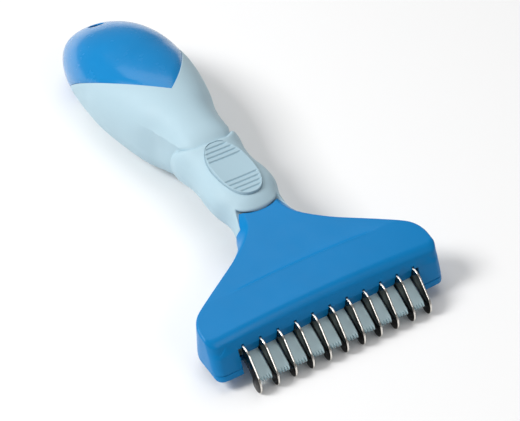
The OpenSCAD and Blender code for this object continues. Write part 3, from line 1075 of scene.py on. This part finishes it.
def build_head():
    """The upper moulding, its tabs, and the bottom cover with its screws' seats."""
    shell = head_loft("head_skin", PARTING_Z + PARTING_GAP, NO_ROOF, SHELL_END, PARTING_R, 0)
    cut(shell, mouth_tool(), neck_tool())
    settle(shell, "head_shell", 40)
    build_tabs()
    cover = head_loft("head_cover_skin", 0, PARTING_Z - PARTING_GAP, COVER_END, COVER_FACE_R, COVER_INSET)
    screws = [screw_tool(side * x, y, seat) for x, y, seat in COVER_SCREWS for side in (-1, 1)]
    cut(cover, mouth_floor_tool(), *screws)
    settle(cover, "head_cover", 40)


# ---- Blades and guard fingers ----

TIP_R = 2.6
BEND_R, BEND_C, BEND_A = 5, (10.5, 8.2), 42.7
NOSE_R, NOSE_C = 6, (6, 2.67)
ROOT = (13.4, 6.6)
ROOT_BACK = (23.5, 14.8)
INNER_TEETH = 9
INNER_TOOTH_H = 0.45
INNER_SAG = 1.3
BLADE_EDGE_R = 0.13


def arc(c, r, a0, a1, n):
    points = []
    for k in range(n + 1):
        a = math.radians(lerp(a0, a1, k / n))
        points.append((c[0] + r * math.cos(a), c[1] + r * math.sin(a)))
    return points


def blade_outline():
    """Side view of a blade: round spine, round tip, serrated inner edge and root, as y, z."""
    tip = arc((TIP_R, TIP_R), TIP_R, 180, 375, 28)
    a, b = tip[-1], ROOT
    d = (b[0] - a[0], b[1] - a[1])
    length = math.hypot(*d)
    n = (-d[1] / length, d[0] / length)
    inner = []
    for k in range(1, 2 * INNER_TEETH):
        s = k / (2 * INNER_TEETH)
        out = 4 * INNER_SAG * s * (1 - s) + (k % 2) * INNER_TOOTH_H
        inner.append((a[0] + d[0] * s + n[0] * out, a[1] + d[1] * s + n[1] * out))
    spine = arc(BEND_C, BEND_R, 90, 90 + BEND_A, 12) + arc(NOSE_C, NOSE_R, 90 + BEND_A, 179, 12)
    root = [ROOT, (ROOT_BACK[0], ROOT[1]), ROOT_BACK, (ROOT[0], ROOT_BACK[1])]
    return spine + tip + inner + root + [(ROOT[0] - 0.4, BEND_C[1] + BEND_R)]


def build_blades():
    outline = blade_outline()
    for name in BLADES:
        lo, hi = node_box(name)
        points, faces = plate(outline, rounded_levels(lo.x, hi.x, BLADE_EDGE_R), "x")
        make(name + "_steel", points, faces, name, blade_steel, 40)


FINGER_TIP = (2.2, 3.9)
FINGER_L = 13.6
FINGER_T = 1.5
FINGER_W = 5.3
FINGER_TEETH = 5
FINGER_TOOTH_L = 1.7
FINGER_A = math.radians(25.7)
# Fine lengthwise grooves, and the rounding of the edges
FINGER_LINES = 11
FINGER_LINE_D = 0.05
FINGER_EDGE_R = 0.18
FINGER_TIP_DROP = 0.12
FINGER_COLUMNS = 60
FINGER_ROWS = (0, 0.5, 1.2, 2.5, 4.5, 7, 10, 12.2)
BLOCK_FRONT_Y = ROOT[0] + 0.2
BLOCK_EDGE_R = 0.2


def finger_point(t, row, top):
    """Point t of the way across a finger's top or bottom face, as x from its middle, y and z."""
    tooth = abs((t * FINGER_TEETH) % 1 - 0.5) * 2
    front = FINGER_TOOTH_L * tooth
    v = front + (FINGER_L - front) * row / FINGER_ROWS[-1]
    drop = rolled(min(t, 1 - t) * FINGER_W, FINGER_EDGE_R)
    if row == 0:
        drop += FINGER_TIP_DROP
    if top:
        d = -drop - FINGER_LINE_D * (0.5 - 0.5 * math.cos(2 * math.pi * t * FINGER_LINES))
    else:
        d = drop - FINGER_T
    y = FINGER_TIP[0] + v * math.cos(FINGER_A) - d * math.sin(FINGER_A)
    z = FINGER_TIP[1] + v * math.sin(FINGER_A) + d * math.cos(FINGER_A)
    return FINGER_W * (t - 0.5), y, z


def finger_faces():
    """Faces of the toothed plate: top, bottom, the two ends and the two sides."""
    wide, rows = FINGER_COLUMNS + 1, len(FINGER_ROWS)
    half, last = wide * rows, wide * (rows - 1)
    faces = []
    for row in range(rows - 1):
        for k in range(FINGER_COLUMNS):
            p = row * wide + k
            faces.append((p, p + 1, p + wide + 1, p + wide))
            faces.append((half + p, half + p + wide, half + p + wide + 1, half + p + 1))
    for k in range(FINGER_COLUMNS):
        faces.append((k, half + k, half + k + 1, k + 1))
        faces.append((last + k, last + k + 1, half + last + k + 1, half + last + k))
    for row in range(rows - 1):
        p, q = row * wide, (row + 1) * wide
        faces.append((p, q, half + q, half + p))
        p, q = p + FINGER_COLUMNS, q + FINGER_COLUMNS
        faces.append((p, half + p, half + q, q))
    return faces


def build_fingers():
    """Each guard finger: a toothed plate, and the spacer block that sits on the two rods."""
    block = [(BLOCK_FRONT_Y, ROOT[1]), (ROOT_BACK[0], ROOT[1]), ROOT_BACK, (BLOCK_FRONT_Y, ROOT_BACK[1])]
    for name in FINGERS:
        lo, hi = node_box(name)
        middle = (lo.x + hi.x) / 2
        points, faces = [], finger_faces()
        for top in (True, False):
            for row in FINGER_ROWS:
                for k in range(FINGER_COLUMNS + 1):
                    x, y, z = finger_point(k / FINGER_COLUMNS, row, top)
                    points.append((middle + x, y, z))
        add(points, faces, *plate(block, rounded_levels(lo.x, hi.x, BLOCK_EDGE_R), "x"))
        make(name + "_comb", points, faces, name, finger_plastic, 40)


build_grip()
build_pad()
build_cap()
build_head()
build_blades()
build_fingers()

# ---- Camera, light and floor ----


def look():
    """The viewing angle, about the point of the table under the head."""
    azimuth, elevation, roll = math.radians(-31.03), math.radians(42.58), math.radians(-0.763)
    distance = 0.6138
    aim = Vector((0.01227, -0.01927, 0))
    lens_per_width = 1700 / 520
    back = Vector((
        math.sin(azimuth) * math.cos(elevation), -math.cos(azimuth) * math.cos(elevation), math.sin(elevation)
    ))
    right = Vector((math.cos(azimuth), math.sin(azimuth), 0))
    up = back.cross(right)
    right, up = (
        right * math.cos(roll) + up * math.sin(roll),
        up * math.cos(roll) - right * math.sin(roll),
    )
    data = bpy.data.cameras.new("camera")
    camera = bpy.data.objects.new("camera", data)
    scene.collection.objects.link(camera)
    data.sensor_width = 36
    data.lens = 36 * lens_per_width
    data.clip_start = 0.01
    data.clip_end = 50
    turn = Matrix((right, up, back)).transposed().to_4x4()
    camera.matrix_world = Matrix.Translation(aim + back * distance) @ turn
    scene.camera = camera


def lamp(name, place_at, aim_at, size, power):
    data = bpy.data.lights.new(name, "AREA")
    data.shape = "RECTANGLE"
    data.size, data.size_y = size
    data.energy = power
    obj = bpy.data.objects.new(name, data)
    obj.location = place_at
    obj.rotation_mode = "QUATERNION"
    obj.rotation_quaternion = (Vector(aim_at) - Vector(place_at)).to_track_quat("-Z", "Y")
    scene.collection.objects.link(obj)


def build_stage():
    mesh = bpy.data.meshes.new("floor")
    side = 6
    corners = [(-side, -side, 0), (side, -side, 0), (side, side, 0), (-side, side, 0)]
    mesh.from_pydata(corners, [], [(0, 1, 2, 3)])
    floor = bpy.data.objects.new("floor", mesh)
    scene.collection.objects.link(floor)
    material, tree, shader = principled("floor_white")
    shader.inputs["Roughness"].default_value = 0.9
    shader.inputs["Specular IOR Level"].default_value = 0.1
    tone = noise(tree, 300, 2)
    tree.links.new(blend_colour(tree, tone, (0.9, 0.9, 0.9), (0.92, 0.92, 0.92)), shader.inputs["Base Color"])
    mesh.materials.append(material)
    world = bpy.data.worlds.new("world")
    world.use_nodes = True
    world.node_tree.nodes["Background"].inputs["Color"].default_value = (1, 1, 1, 1)
    world.node_tree.nodes["Background"].inputs["Strength"].default_value = 0.2
    scene.world = world
    scene.view_settings.view_transform = "Standard"
    lamp("key", (-0.85, 0.25, 0.9), (0, 0, 0), (0.45, 0.45), 12.5)
    lamp("front", (0.2, -0.8, 0.75), (0, -0.08, 0), (0.4, 0.3), 1.3)
    lamp("top", (0.15, 0.5, 1.3), (0, 0, 0), (1.3, 1.3), 8.5)


look()
build_stage()

for name, material in {
    "front_rod": rod_steel, "rear_rod": rod_steel, "tongue_pin": rod_steel,
    "cover_screws": screw_steel, "core_screws": screw_steel, "cap_screw": screw_steel,
    "core_upper": core_plastic, "core_lower": core_plastic,
    "end_plate_left": finger_plastic, "end_plate_right": finger_plastic,
}.items():
    mesh = nodes[name].data
    mesh.materials.clear()
    mesh.materials.append(material)
